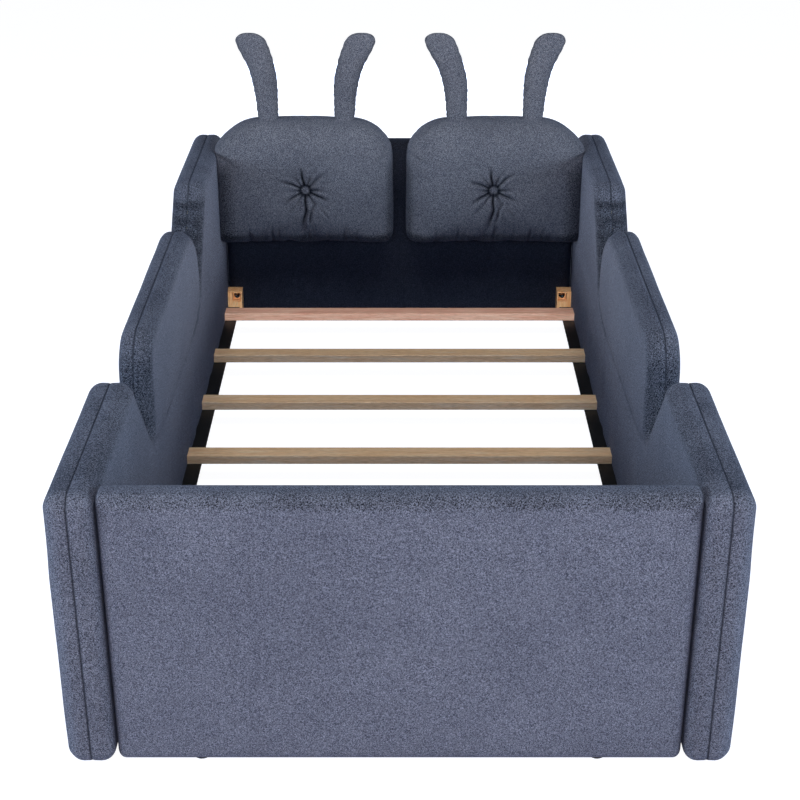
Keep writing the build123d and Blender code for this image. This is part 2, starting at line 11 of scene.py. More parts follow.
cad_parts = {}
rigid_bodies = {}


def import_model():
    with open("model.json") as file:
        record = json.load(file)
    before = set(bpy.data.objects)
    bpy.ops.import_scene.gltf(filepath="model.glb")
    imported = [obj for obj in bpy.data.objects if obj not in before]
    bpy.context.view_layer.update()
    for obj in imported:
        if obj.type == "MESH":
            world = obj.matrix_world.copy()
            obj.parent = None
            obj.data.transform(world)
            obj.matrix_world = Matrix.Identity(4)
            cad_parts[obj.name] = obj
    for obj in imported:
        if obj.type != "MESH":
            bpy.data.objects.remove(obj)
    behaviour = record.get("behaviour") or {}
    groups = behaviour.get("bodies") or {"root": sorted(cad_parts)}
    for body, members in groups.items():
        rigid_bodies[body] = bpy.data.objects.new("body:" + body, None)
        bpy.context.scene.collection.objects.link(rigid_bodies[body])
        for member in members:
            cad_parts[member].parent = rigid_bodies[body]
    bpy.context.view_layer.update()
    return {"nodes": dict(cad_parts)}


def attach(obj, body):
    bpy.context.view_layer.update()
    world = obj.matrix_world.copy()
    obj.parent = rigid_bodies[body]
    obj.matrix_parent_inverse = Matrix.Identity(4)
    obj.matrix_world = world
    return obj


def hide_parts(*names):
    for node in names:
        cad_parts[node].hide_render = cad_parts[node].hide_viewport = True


# Upholstered floor bed. Sizes are in millimetres here and turn to metres where a mesh is made.
# +Z is up, +Y runs from the foot to the head, and left is the -X side.

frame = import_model()

MM = 0.001

# Panels
HALF_INSIDE = 503
HALF_INSIDE_LENGTH = 992.5
SIDE_THICKNESS = 82
PETAL_THICKNESS = 62
END_THICKNESS = 65
SIDE_LENGTH = 2131
SIDE_HEIGHT = 543
FOOTBOARD_HEIGHT = 541
HEADBOARD_HEIGHT = 536
PANEL_BOTTOM = 4
FRONT_PETAL = 453
REAR_PETAL = 465
FRONT_SLOPE_RUN = 182
REAR_SLOPE_RUN = 214
NOTCH_DEPTH = 214
VALLEY = SIDE_HEIGHT - NOTCH_DEPTH
# Ends of a side panel, and the bottoms of its two notches, along the bed
FRONT_END = -SIDE_LENGTH / 2
REAR_END = SIDE_LENGTH / 2
FRONT_NOTCH = FRONT_END + FRONT_PETAL + FRONT_SLOPE_RUN
REAR_NOTCH = REAR_END - REAR_PETAL - REAR_SLOPE_RUN
PANEL_ROUNDING = 25
JOINT_GAP = 2.2
# How far a side panel's seam is drawn in, how far the padding beside it swells, and a swell's deepest dip
SIDE_SEAM_PULL = 0.9
SIDE_LOBE = 1.3
DEEPEST_DIP = 1.25
# Rings over a rounded edge, and spacing of the points on a face
EDGE_RINGS = 7
FACE_NET = 8

# Cushions
CUSHION_WIDTH = 483
CUSHION_HEIGHT = 350
CUSHION_THICKNESS = 140
CUSHION_BOTTOM = 281
CUSHION_MIDDLE = 260
CUSHION_BACK = 989.2
SEAM_DEPTH = 63
FULL_DEPTH = 146
LOW_FULLNESS = 0.42
TUFT_HEIGHT = 156
BUTTON_RADIUS = 14
EAR_SPACING = 200
HALF_CUSHION = CUSHION_WIDTH / 2
EAR_FOOT = 618
EAR_TIP = 858.6
# The empty shell: how far the flat back and front lie in from the outline, how full its edges are, and its net
BACK_RIM = 46
FRONT_RIM = 92
CUSHION_ROUNDNESS = 0.8
CUSHION_NET = 6
# The filling: frames simulated, the furthest that a point may move, and what is held still
FILLING_FRAMES = 20
FILLING_LIMIT = 22
HELD_ROUND_BUTTON = 17
HELD_AT_BACK = 3

# Multipliers that scatter a cell's place and a seed over 32 bits
CELL_MIX = (73856093, 19349663, 83492791)
SEED_MIX = 40503
WORD_MIX = (2654435761, 2246822519)
WORD = 0xFFFFFFFF


def unit(vector):
    return vector / np.hypot(*vector)


def left_of(vector):
    return np.array([-vector[1], vector[0]])


def soft_step(low, high, value):
    """0 below low, 1 above high and smooth between."""
    share = np.clip((value - low) / (high - low), 0, 1)
    return share * share * (3 - 2 * share)


def bell(distance, width):
    return np.exp(-((distance / width) ** 2))


def bumps(points, size, seed):
    """Smooth bumps from -1 to 1 of about the given size."""
    scaled = np.asarray(points, float) / size
    base = np.floor(scaled).astype(np.int64)
    part = scaled - base
    part = part * part * (3 - 2 * part)
    total = np.zeros(len(scaled))
    for corner in itertools.product((0, 1), repeat=3):
        cell = (base + np.array(corner)) * CELL_MIX
        mixed = cell[:, 0] ^ cell[:, 1] ^ cell[:, 2] ^ seed * SEED_MIX
        mixed = (mixed & WORD) * WORD_MIX[0] & WORD
        mixed = (mixed ^ (mixed >> 15)) * WORD_MIX[1] & WORD
        value = ((mixed >> 8) & 0xFFFF) / 32767.5 - 1
        weight = np.prod(np.where(np.array(corner) == 1, part, 1 - part), axis=1)
        total += value * weight
    return total


def distance_to_line(points, start, end):
    """Distance of flat points to a straight piece."""
    run = end - start
    share = np.clip(((points - start) @ run) / max(run @ run, 1e-9), 0, 1)
    return np.hypot(*(points - start - share[:, None] * run).T)


def distance_to_path(points, path):
    """Distance of flat points to a run of straight pieces."""
    path = np.array(path, float)
    return np.min([distance_to_line(points, *ends) for ends in zip(path[:-1], path[1:])], axis=0)


# Meshes


def mesh_points(mesh):
    points = np.empty(len(mesh.vertices) * 3)
    mesh.vertices.foreach_get("co", points)
    return points.reshape(-1, 3) / MM


def set_points(mesh, points):
    mesh.vertices.foreach_set("co", (np.asarray(points) * MM).ravel())
    mesh.update()


def smooth_and_mark(mesh, fold_shade, pucker_shade):
    """Smooth shading, and each point's painted fold shade and pucker shade, from 0 to 1, for the cloth's material
    to read.
    """
    for name, values in (("fold_shade", fold_shade), ("pucker_shade", pucker_shade)):
        if values is not None:
            layer = mesh.attributes.new(name, "FLOAT", "POINT")
            layer.data.foreach_set("value", np.clip(values, 0, 1).astype(np.float32))
    mesh.shade_smooth()


def link_new(name, data):
    """A new object in the scene for a mesh, a light or a camera."""
    piece = bpy.data.objects.new(name, data)
    bpy.context.scene.collection.objects.link(piece)
    return piece


def new_object(name, points, faces, fold_shade=None, pucker_shade=None):
    """A mesh object from points in millimetres, with its outside facing out."""
    mesh = bpy.data.meshes.new(name)
    mesh.from_pydata((np.asarray(points) * MM).tolist(), [], faces)
    body = bmesh.new()
    body.from_mesh(mesh)
    bmesh.ops.recalc_face_normals(body, faces=body.faces)
    body.to_mesh(mesh)
    body.free()
    smooth_and_mark(mesh, fold_shade, pucker_shade)
    return link_new(name, mesh)


def mirrored(piece, name):
    """The left-hand copy of a right-hand piece."""
    mesh = piece.data.copy()
    set_points(mesh, mesh_points(mesh) * (-1, 1, 1))
    mesh.flip_normals()
    mesh.name = name
    return link_new(name, mesh)


def evaluated_mesh(piece):
    graph = bpy.context.evaluated_depsgraph_get()
    return bpy.data.meshes.new_from_object(piece.evaluated_get(graph))


def keep_result(piece):
    """Make the result of a piece's modifiers its own mesh."""
    mesh = evaluated_mesh(piece)
    piece.modifiers.clear()
    piece.data = mesh
    mesh.shade_smooth()


def subdivide_once(piece):
    smooth = piece.modifiers.new("round", "SUBSURF")
    smooth.levels = 1
    smooth.render_levels = 1


def ring_angles(count):
    """Angles of evenly spread points round a ring."""
    return 2 * math.pi * np.arange(count) / count


def band_faces(levels, count):
    """Four-sided faces between rings of the same number of points."""
    low = np.arange((levels - 1) * count).reshape(-1, count)
    after = np.roll(low, -1, axis=1)
    return np.stack([low, after, after + count, low + count], axis=2).reshape(-1, 4).tolist()


def closed_faces(rings):
    """Faces of a closed shell: one over the first ring, one over the last and the bands between."""
    levels, count = len(rings), len(rings[0])
    ends = [list(range(count)), [levels * count - 1 - index for index in range(count)]]
    return ends + band_faces(levels, count)


# Outlines


def rounded_ring(outline, inset, step=7):
    """A counter-clockwise outline of (across, up, radius) corners, drawn in by the inset.
    Every inset gives the same number of points, so rings join one to one."""
    corners = [np.array(corner[:2], float) for corner in outline]
    count = len(corners)
    starts, arcs = [], []
    for index, (_, _, radius) in enumerate(outline):
        before = unit(corners[index] - corners[index - 1])
        after = unit(corners[(index + 1) % count] - corners[index])
        moved = corners[index] + left_of(before + after) * inset / (1 + before @ after)
        turn = math.atan2(left_of(before) @ after, before @ after)
        side = 1 if turn > 0 else -1
        bend = max(radius - side * inset, 0.3)
        start = moved - before * bend * math.tan(abs(turn) / 2)
        centre = start + side * bend * left_of(before)
        pieces = max(5, int(radius * abs(turn) / step))
        angles = turn * np.arange(pieces + 1) / pieces
        cosines, sines = np.cos(angles), np.sin(angles)
        across, up = start - centre
        arcs.append(centre + np.column_stack([across * cosines - up * sines, across * sines + up * cosines]))
        starts.append(start)
    ring = []
    for index, arc in enumerate(arcs):
        following = (index + 1) % count
        length = np.hypot(*(corners[following] - corners[index]))
        pieces = max(2, int(length / step))
        straight = (starts[following] - arc[-1]) * np.arange(1, pieces)[:, None] / pieces
        ring += [arc, arc[-1] + straight]
    return np.vstack(ring)


# Whole side panel, with three petals over one low body: place along the bed, height and radius of each corner
SIDE_OUTLINE = [
    (FRONT_END, PANEL_BOTTOM, 27), (REAR_END, PANEL_BOTTOM, 27),
    (REAR_END, SIDE_HEIGHT, 28), (REAR_END - REAR_PETAL, SIDE_HEIGHT, 50), (REAR_NOTCH, VALLEY, 6),
    (REAR_NOTCH, SIDE_HEIGHT, 196), (FRONT_NOTCH, SIDE_HEIGHT, 82),
    (FRONT_NOTCH, VALLEY, 6), (FRONT_END + FRONT_PETAL, SIDE_HEIGHT, 27), (FRONT_END, SIDE_HEIGHT, 28),
]
# The same without the middle petal
BODY_OUTLINE = SIDE_OUTLINE[:5] + SIDE_OUTLINE[7:]
# The middle petal, whose root is hidden behind the body
PETAL_OUTLINE = [(FRONT_NOTCH, VALLEY - 70, 27), (REAR_NOTCH, VALLEY - 70, 27)] + SIDE_OUTLINE[5:7]


def end_outline(height):
    half = HALF_INSIDE - JOINT_GAP
    return [(-half, PANEL_BOTTOM, 16), (half, PANEL_BOTTOM, 16), (half, height, 13), (-half, height, 13)]


def net_inside(ring, step):
    """Points of an even net inside a ring, clear of its edge, and how far they are from it."""
    low, high = ring.min(0), ring.max(0)
    rows = []
    for row, height in enumerate(np.arange(low[1] + step / 2, high[1], step * 0.866)):
        places = np.arange(low[0] + step * (0.5 + 0.5 * (row % 2)), high[0], step)
        rows.append(np.column_stack([places, np.full(len(places), height)]))
    points = np.vstack(rows)
    inside = np.zeros(len(points), bool)
    clear = np.full(len(points), np.inf)
    for start, end in zip(ring, np.roll(ring, -1, axis=0)):
        crosses = (start[1] > points[:, 1]) != (end[1] > points[:, 1])
        rise = end[1] - start[1]
        if rise:
            at = start[0] + (points[:, 1] - start[1]) * (end[0] - start[0]) / rise
            inside ^= crosses & (points[:, 0] < at)
        clear = np.minimum(clear, distance_to_line(points, start, end))
    kept = inside & (clear > step * 0.55)
    return points[kept], clear[kept]


def padded_half(outline, seam_depth, face_depth, edge, pull, lobe):
    """One half of a panel's padding, flat: (across, up, depth) points, faces, distance from the edge and painted
    fold shade. The seam is drawn in by the pull and the padding beside it swells by the lobe."""
    sign = 1 if face_depth > seam_depth.mean() else -1
    # Painted shade in and beside the seam groove, only where the seam is drawn in: the third value of each section
    # below.
    dark = 1 if pull > 0 else 0
    sections = [
        (inset, seam_depth + sign * rise, fold_shade * dark)
        for inset, rise, fold_shade in ((pull, 0, 0.9), ((pull - lobe) * 0.4, 1.2, 0.62), (-lobe * 0.7, 4, 0))
    ]
    for step in range(EDGE_RINGS + 1):
        angle = math.pi / 2 * step / EDGE_RINGS
        inset = -lobe + (edge + lobe) * (1 - math.cos(angle))
        depth = face_depth - sign * edge * (1 - math.sin(angle))
        sections.append((inset, np.full(len(seam_depth), depth), 0))
    insets, depths, fold_shades = zip(*sections)
    rings = [rounded_ring(outline, inset) for inset in insets]
    count = len(seam_depth)
    last = (len(rings) - 1) * count
    inner, clear = net_inside(rings[-1], FACE_NET)
    flat = [Vector(point) for point in np.vstack([rings[-1], inner])]
    _, _, net, sources, *_ = delaunay_2d_cdt(flat, [], [list(range(count))], 1, 1e-4)
    index_of = [last + source[0] for source in sources]
    faces = [list(range(count))] + band_faces(len(rings), count)
    faces.extend([index_of[index] for index in face] for face in net)
    points = [np.column_stack(pair) for pair in zip(rings, depths)]
    points.append(np.column_stack([inner, np.full(len(inner), face_depth)]))
    from_edge = np.concatenate([np.repeat(insets, count), clear + edge])
    fold_shade = np.concatenate([np.repeat(fold_shades, count), np.zeros(len(inner))])
    return np.vstack(points), faces, from_edge, fold_shade


# Petal pad's lower edge on the inner face, from the front notch to the rear one
PETAL_CREASE = [
    (-430, 329), (-405, 317), (-350, 304), (-242, 296), (-120, 293), (0, 289),
    (67, 286), (150, 285), (230, 285), (301, 288), (345, 301), (372, 317), (386, 329),
]
# Short gathers along that crease: place along the bed, height, size
PETAL_GATHERS = [(-242, 297, 10), (-56, 297, 7), (66, 286, 9), (170, 292, 6), (300, 306, 7)]
# Where the inner face is flat, so that the cushions can slide past: along the bed and up
CUSHION_PATH_ALONG = (415, 448)
CUSHION_PATH_UP = (250, 300)
# Where the inner face runs in between the side panel and the end panel, flattened and darkened by painted shade
JOINT_SHADE = (972, 992)
# From what height up to what height the rear petal's slope is puckered
SLOPE_PUCKERS = (338, 508)


def patchy(points, seed):
    """Strength of the painted pucker shade from place to place."""
    return 1 + 0.4 * bumps(points, 60, seed + 5)


def shape_side_inner(points, from_edge, fold_shade, seed):
    """Stuffing, the petal pad's crease and faint pulls on a side panel's inner face, with painted shade along the
    crease, in the gathers, at the joint with the end panel and along the crease towards the rear.
    """
    across, up = points[:, 0], points[:, 1]
    face = soft_step(4, 17, from_edge)
    crease = distance_to_path(points[:, :2], PETAL_CREASE)
    crease_across, crease_up = zip(*PETAL_CREASE)
    petal = (across > crease_across[0]) & (across < crease_across[-1])
    petal &= up > np.interp(across, crease_across, crease_up)
    before_rear = soft_step(396, 380, across)
    firmness = 0.35 + 0.65 * soft_step(150, 340, across) + 0.5 * soft_step(-330, -430, across)
    firmness = np.clip(firmness, 0, 1) * soft_step(-440, -425, across) * before_rear
    swell = 3.2 * (1 - np.exp(-from_edge.clip(0) / 45))
    swell += np.where(petal, 4.0, 1.2) * (1 - np.exp(-crease / 28))
    pinch = bell(crease, 7) * firmness
    swell = swell * (1 - 0.85 * pinch) - pinch
    # Painted shade along the petal pad's crease.
    fold_shade = fold_shade + 0.55 * bell(crease, 4) * firmness
    # Each gather dips the face and has painted shade in its middle.
    for place, height, size in PETAL_GATHERS:
        reach = np.hypot((across - place) / 1.6, up - height)
        swell -= 2.4 * bell(reach, size)
        fold_shade = fold_shade + 0.5 * bell(reach, size * 0.55)
    pulls = bumps(np.column_stack([across, up / 7, across * 0]), 42, seed)
    swell += 1.6 * soft_step(300, 160, up) * pulls
    swell += 0.7 * bumps(points, 95, seed + 1) + 0.35 * bumps(points, 38, seed + 2)
    cushion_path = soft_step(*CUSHION_PATH_ALONG, across) * soft_step(*CUSHION_PATH_UP, up)
    swell = np.maximum(swell * (1 - 0.92 * cushion_path), -DEEPEST_DIP)
    at_joint = soft_step(*JOINT_SHADE, np.abs(across))
    swell *= 1 - at_joint
    # Painted shade where the inner face runs in between the side panel and the end panel.
    fold_shade = fold_shade + 0.9 * at_joint * soft_step(21, 25, from_edge)
    # Painted shade along the crease towards the rear, carried as pucker shade.
    rear_crease_shade = soft_step(150, 260, across) * bell(crease, 6)
    return -swell * face, fold_shade, 0.85 * rear_crease_shade * before_rear


def shape_side_outer(points, from_edge, fold_shade, seed):
    face = soft_step(4, 14, from_edge)
    low = soft_step(VALLEY + 150, VALLEY + 40, points[:, 1])
    swell = (2.2 + 2.6 * low) * (1 - np.exp(-from_edge.clip(0) / (50 - 30 * low)))
    swell += 0.8 * bumps(points, 110, seed) + 0.35 * bumps(points, 40, seed + 1)
    return swell * face, fold_shade, np.zeros(len(points))


def slope_gathers(points, from_edge, seed):
    """Fine puckers across the low part of the rear petal's slope."""
    across, up = points[:, 0], points[:, 1]
    low, high = SLOPE_PUCKERS
    on_slope = bell((across - REAR_NOTCH) - (up - VALLEY), 42)
    band = soft_step(low - 18, low + 12, up) * soft_step(high + 5, high - 9, up)
    rim = soft_step(32, 16, from_edge)
    phase = up / 5.2 + 1.6 * bumps(points, 30, seed)
    return on_slope * band * rim, np.sin(phase)


def on_petal(ring):
    """1 where an outline point belongs to the middle petal, 0 on the body."""
    after_front = soft_step(FRONT_NOTCH - 1, FRONT_NOTCH + 1.5, ring[:, 0])
    before_rear = soft_step(REAR_NOTCH + 1.5, REAR_NOTCH - 1.3, ring[:, 0])
    return after_front * before_rear * soft_step(VALLEY + 8, VALLEY + 24, ring[:, 1])


def seam_place(petal_share):
    """How far out the covers of a side panel meet: halfway through the body or the thinner petal."""
    return HALF_INSIDE + (SIDE_THICKNESS + (PETAL_THICKNESS - SIDE_THICKNESS) * petal_share) / 2


# Outline, thickness up to the face and rounding of each half of a side panel
SIDE_HALVES = {
    "inner": (SIDE_OUTLINE, 0, PANEL_ROUNDING),
    "body": (BODY_OUTLINE, SIDE_THICKNESS, 27),
    "petal": (PETAL_OUTLINE, PETAL_THICKNESS, 18),
}


def build_side_half(which, seed):
    """Inner half, outer body half or outer petal half of the right side panel."""
    outline, thickness, edge = SIDE_HALVES[which]
    ring = rounded_ring(outline, SIDE_SEAM_PULL)
    share = on_petal(ring) if which == "inner" else np.full(len(ring), which == "petal")
    points, faces, from_edge, fold_shade = padded_half(
        outline, seam_place(share), HALF_INSIDE + thickness, edge, SIDE_SEAM_PULL, SIDE_LOBE
    )
    shape = shape_side_inner if which == "inner" else shape_side_outer
    swell, fold_shade, pucker_shade = shape(points, from_edge, fold_shade, seed)
    # Painted shade in patches along the rim, less towards the rear, carried as pucker shade.
    rim = soft_step(1.2 * edge, 0.5 * edge, from_edge)
    behind_front_end = soft_step(-1060, -1020, points[:, 0])
    at_rear = soft_step(380, 400, points[:, 0])
    rim_pucker_shade = 0.18 + (0.36 - 0.2 * at_rear) * behind_front_end
    pucker_shade = pucker_shade + rim_pucker_shade * rim * patchy(points, seed)
    if which != "petal":
        puckers, ripple = slope_gathers(points, from_edge, seed)
        points[:, 1] += 0.9 * puckers * ripple
        points[:, 0] -= 0.9 * puckers * ripple
        # Painted shade in the troughs of the puckers and over the puckered patch.
        fold_shade = fold_shade + puckers * 0.22 * np.clip(-ripple, 0, 1)
        pucker_shade = pucker_shade + puckers * (0.52 + 0.14 * ripple)
    placed = np.column_stack([points[:, 2] + swell, points[:, 0], points[:, 1]])
    return placed, faces, fold_shade, pucker_shade


def join_shells(shells):
    """Several closed shells as one mesh's points, faces and marks."""
    points, faces, marks, base = [], [], [], 0
    for shell_points, shell_faces, *shell_marks in shells:
        points.append(shell_points)
        faces.extend([[index + base for index in face] for face in shell_faces])
        marks.append(shell_marks)
        base += len(shell_points)
    return np.vstack(points), faces, *[np.concatenate(mark) for mark in zip(*marks)]


def build_end_half(height, outward, facing, seed):
    """Inner or outer half of the headboard (facing 1) or the footboard (facing -1)."""
    outline = end_outline(height)
    seam = np.full(len(rounded_ring(outline, 0)), END_THICKNESS / 2)
    face_depth = END_THICKNESS if outward else 0
    points, faces, from_edge, fold_shade = padded_half(outline, seam, face_depth, PANEL_ROUNDING, 0, 0)
    sign = 1 if outward else -1
    face = soft_step(4, 18, from_edge)
    swell = 2.8 * (1 - np.exp(-from_edge.clip(0) / 55))
    swell += 0.7 * bumps(points, 120, seed) + 0.4 * bumps(points, 45, seed + 1)
    if facing > 0 and not outward:
        swell *= 0.12
    depth = points[:, 2] + sign * swell * face
    placed = np.column_stack([points[:, 0], facing * (HALF_INSIDE_LENGTH + depth), points[:, 1]])
    # Painted shade in patches along the top rim, and at the sides where the end panel meets the side panels.
    rim = soft_step(28, 14, from_edge) * soft_step(height - 60, height - 30, points[:, 1])
    from_side = HALF_INSIDE - JOINT_GAP - np.abs(points[:, 0])
    fold_shade = fold_shade + 0.95 * soft_step(7, 2, from_side)
    return placed, faces, fold_shade, 0.38 * rim * patchy(points, seed)


# Materials


def linear(hex_colour):
    """An sRGB hex colour as linear red, green, blue and alpha."""
    values = [int(hex_colour[place : place + 2], 16) / 255 for place in (1, 3, 5)]
    return [v / 12.92 if v <= 0.04045 else ((v + 0.055) / 1.055) ** 2.4 for v in values] + [1]


def add_node(tree, kind, inputs=None, **settings):
    """Add a node: inputs are values or the sockets that feed it."""
    node = tree.nodes.new(kind)
    for name, value in settings.items():
        setattr(node, name, value)
    for name, value in (inputs or {}).items():
        if isinstance(value, bpy.types.NodeSocket):
            tree.links.new(value, node.inputs[name])
        else:
            node.inputs[name].default_value = value
    return node


def new_material(name):
    material = bpy.data.materials.new(name)
    material.use_nodes = True
    tree = material.node_tree
    return material, tree, tree.nodes["Principled BSDF"]


def textured_material(name):
    """A new material, and the place on the piece for its textures to read."""
    material, tree, shader = new_material(name)
    return material, tree, shader, add_node(tree, "ShaderNodeTexCoord").outputs["Object"]


def colour_ramp(tree, factor, stops):
    ramp = add_node(tree, "ShaderNodeValToRGB", {"Fac": factor})
    elements = ramp.color_ramp.elements
    for _ in stops[2:]:
        elements.new(0.5)
    for element, (place, colour) in zip(elements, stops):
        element.position = place
        element.color = linear(colour)
    return ramp.outputs["Color"]


def noise(tree, place, scale, detail=2, roughness=0.5, distortion=0):
    inputs = {"Vector": place, "Scale": scale, "Detail": detail, "Roughness": roughness, "Distortion": distortion}
    return add_node(tree, "ShaderNodeTexNoise", inputs).outputs["Fac"]


def cells(tree, place, scale):
    return add_node(tree, "ShaderNodeTexVoronoi", {"Vector": place, "Scale": scale}).outputs["Distance"]


def math_node(tree, operation, first, second, **settings):
    node = add_node(tree, "ShaderNodeMath", {0: first, 1: second}, operation=operation, **settings)
    return node.outputs[0]


def mix_colours(tree, factor, first, second, **settings):
    inputs = {"Factor": factor, "A": first, "B": second}
    return add_node(tree, "ShaderNodeMix", inputs, data_type="RGBA", **settings).outputs["Result"]


def finish_surface(tree, shader, colour, relief, strength, distance, roughness, **settings):
    """Give the shader its colour, a bump of the relief and its roughness."""
    inputs = {"Height": relief, "Strength": strength, "Distance": distance}
    bump = add_node(tree, "ShaderNodeBump", inputs, **settings)
    tree.links.new(colour, shader.inputs["Base Color"])
    tree.links.new(bump.outputs["Normal"], shader.inputs["Normal"])
    shader.inputs["Roughness"].default_value = roughness


def boucle_fabric(name, dark, middle, light, fold_shade_colour):
    """Woven boucle: short looped yarns about 3 mm across give a fine light and dark fleck. The fold shade mark
    paints shade dark all over, and the pucker shade mark paints shade as dark gaps between the yarns."""
    material, tree, shader, place = textured_material(name)
    fleck = noise(tree, place, 560, 1, distortion=1.2)
    tone = colour_ramp(tree, fleck, [(0.36, dark), (0.5, middle), (0.64, light)])
    shade = colour_ramp(tree, noise(tree, place, 9), [(0.3, "#EDEDEF"), (0.7, "#FFFFFF")])
    drifted = mix_colours(tree, 1.0, tone, shade, blend_type="MULTIPLY")
    # Painted shade: the fold shade and pucker shade marks pull the colour towards the near-black fold shade
    # colour.
    marks = [add_node(tree, "ShaderNodeAttribute", attribute_name=mark) for mark in ("fold_shade", "pucker_shade")]
    fold_shade, pucker_shade = (mark.outputs["Fac"] for mark in marks)
    level = add_node(tree, "ShaderNodeMapRange", {"Value": fleck, "From Min": 0.4, "From Max": 0.6})
    over = math_node(tree, "SUBTRACT", pucker_shade, level.outputs["Result"])
    gap_shade = math_node(tree, "MULTIPLY", over, 4.0, use_clamp=True)
    drawn_shade = math_node(tree, "MAXIMUM", gap_shade, math_node(tree, "MULTIPLY", pucker_shade, 0.6))
    darkest_shade = math_node(tree, "MAXIMUM", drawn_shade, fold_shade)
    painted_shade_colour = mix_colours(tree, darkest_shade, drifted, linear(fold_shade_colour))
    height = math_node(tree, "SUBTRACT", cells(tree, place, 480), fleck)
    finish_surface(tree, shader, painted_shade_colour, height, 0.55, 0.0014, 0.92, invert=True)
    shader.inputs["Sheen Weight"].default_value = 0.18
    shader.inputs["Sheen Roughness"].default_value = 0.5
    shader.inputs["Sheen Tint"].default_value = linear("#A4B2DC")
    shader.inputs["Specular IOR Level"].default_value = 0.25
    return material


def sawn_wood(name, dark, middle, light, along, roughness=0.55):
    """Planed softwood: grain runs along one axis, 2 to 6 mm wide, with a faint fibre relief."""
    material, tree, shader, place = textured_material(name)
    stretch = [26, 26, 26]
    stretch[along] = 1.6
    lines = add_node(tree, "ShaderNodeMapping", {"Vector": place, "Scale": stretch}).outputs["Vector"]
    fibre = noise(tree, lines, 34, 3)
    tone = colour_ramp(tree, noise(tree, lines, 5, 5, 0.62, 0.7), [(0.3, dark), (0.48, middle), (0.7, light)])
    fleck = colour_ramp(tree, fibre, [(0.35, "#D6CFC6"), (0.6, "#FFFFFF")])
    mixed = mix_colours(tree, 0.7, tone, fleck, blend_type="MULTIPLY")
    finish_surface(tree, shader, mixed, fibre, 0.25, 0.0006, roughness)
    return material


def painted_steel(name, colour, worn):
    """Powder-coated steel: a fine orange-peel relief and patches rubbed a little lighter."""
    material, tree, shader, place = textured_material(name)
    tone = colour_ramp(tree, noise(tree, place, 28, 6, 0.7), [(0.45, colour), (0.75, worn)])
    finish_surface(tree, shader, tone, noise(tree, place, 600), 0.2, 0.0004, 0.5)
    return material


def zinc_steel(name):
    """Zinc-plated steel: bright grey with a soft yellowish bloom in patches."""
    material, tree, shader, place = textured_material(name)
    bloom = noise(tree, place, 140, 4)
    tone = colour_ramp(tree, bloom, [(0.35, "#A9A79B"), (0.65, "#C9CBCD")])
    rough = colour_ramp(tree, bloom, [(0.3, "#6E6E6E"), (0.7, "#4A4A4A")])
    tree.links.new(tone, shader.inputs["Base Color"])
    tree.links.new(rough, shader.inputs["Roughness"])
    shader.inputs["Metallic"].default_value = 1
    return material


def grained_material(name, texture, scale, stops, strength, distance, roughness):
    """A material that takes both its colour and its relief from one fine texture."""
    material, tree, shader, place = textured_material(name)
    grain = texture(tree, place, scale)
    finish_surface(tree, shader, colour_ramp(tree, grain, stops), grain, strength, distance, roughness)
    return material


def moulded_plastic(name, colour, lighter):
    """Moulded nylon: spark-eroded grain under 1 mm and a dull skin."""
    return grained_material(name, noise, 1400, [(0.35, colour), (0.7, lighter)], 0.3, 0.0003, 0.6)


def cut_foam(name):
    """Cut polyurethane foam: open cells about 1 mm across in a pale yellow."""
    return grained_material(name, cells, 900, [(0.1, "#C9B98A"), (0.6, "#EDE3BF")], 0.6, 0.001, 0.95)


def hook_and_loop(name):
    """Woven tape with a nap of loops under 1 mm, near black."""
    return grained_material(name, cells, 1100, [(0.1, "#14161B"), (0.7, "#2E323A")], 0.8, 0.0008, 0.9)


# The last colour of each boucle is the painted shade colour that the fold shade and pucker shade marks pull
# towards.
panel_fabric = boucle_fabric("boucle_blue_grey", "#333848", "#5F6373", "#8D92A6", "#0C101B")
cushion_fabric = boucle_fabric("boucle_blue_grey_cushion", "#2F3345", "#5B5D67", "#888995", "#080B16")
# A darker copy of the same boucle, as painted shade on the headboard's inner face.
painted_shade_fabric = boucle_fabric("boucle_blue_grey_painted_shade", "#1B1F2B", "#2B303E", "#3F4454", "#090C16")
slat_pine = sawn_wood("pine_slat_planed", "#EEC096", "#FBD2A6", "#FFE3C4", 0)
rosy_pine = sawn_wood("pine_slat_rosy", "#DF9A86", "#EDB29E", "#F8CCBA", 0)
block_pine = sawn_wood("pine_block_planed", "#E8935A", "#F4B280", "#FFD2A8", 2)
batten_pine = sawn_wood("pine_batten_rough", "#B58C5C", "#CFA877", "#E2C297", 1, 0.75)
panel_ply = sawn_wood("poplar_plywood", "#B79A70", "#CDB388", "#DCC69F", 1, 0.7)
angle_paint = painted_steel("black_powder_coated_steel", "#0B0C0D", "#1C1E20")
fastener_zinc = zinc_steel("zinc_plated_steel")
glide_nylon = moulded_plastic("black_nylon", "#101113", "#1D1F22")
pad_foam = cut_foam("polyurethane_foam")
tape_nap = hook_and_loop("hook_and_loop_tape")
seam_thread = moulded_plastic("navy_polyester_thread", "#1A1E2B", "#2A3042")

# Start and end of a CAD node's name, and the material of the real piece. The first match counts.
CARRIED_MATERIALS = [
    ("", "_foam", pad_foam), ("", "_board", panel_ply), ("", "_frame", batten_pine),
    ("slat_ledge_", "", angle_paint), ("corner_block_", "", block_pine), ("floor_glides", "", glide_nylon),
    ("", "_screws", fastener_zinc), ("corner_bolts", "", fastener_zinc), ("corner_tee_nuts", "", fastener_zinc),
    ("slat_7", "", rosy_pine), ("slat_", "", slat_pine),
    ("", "_tapes", tape_nap), ("", "_tuft_tie", seam_thread), ("", "", panel_fabric),
]


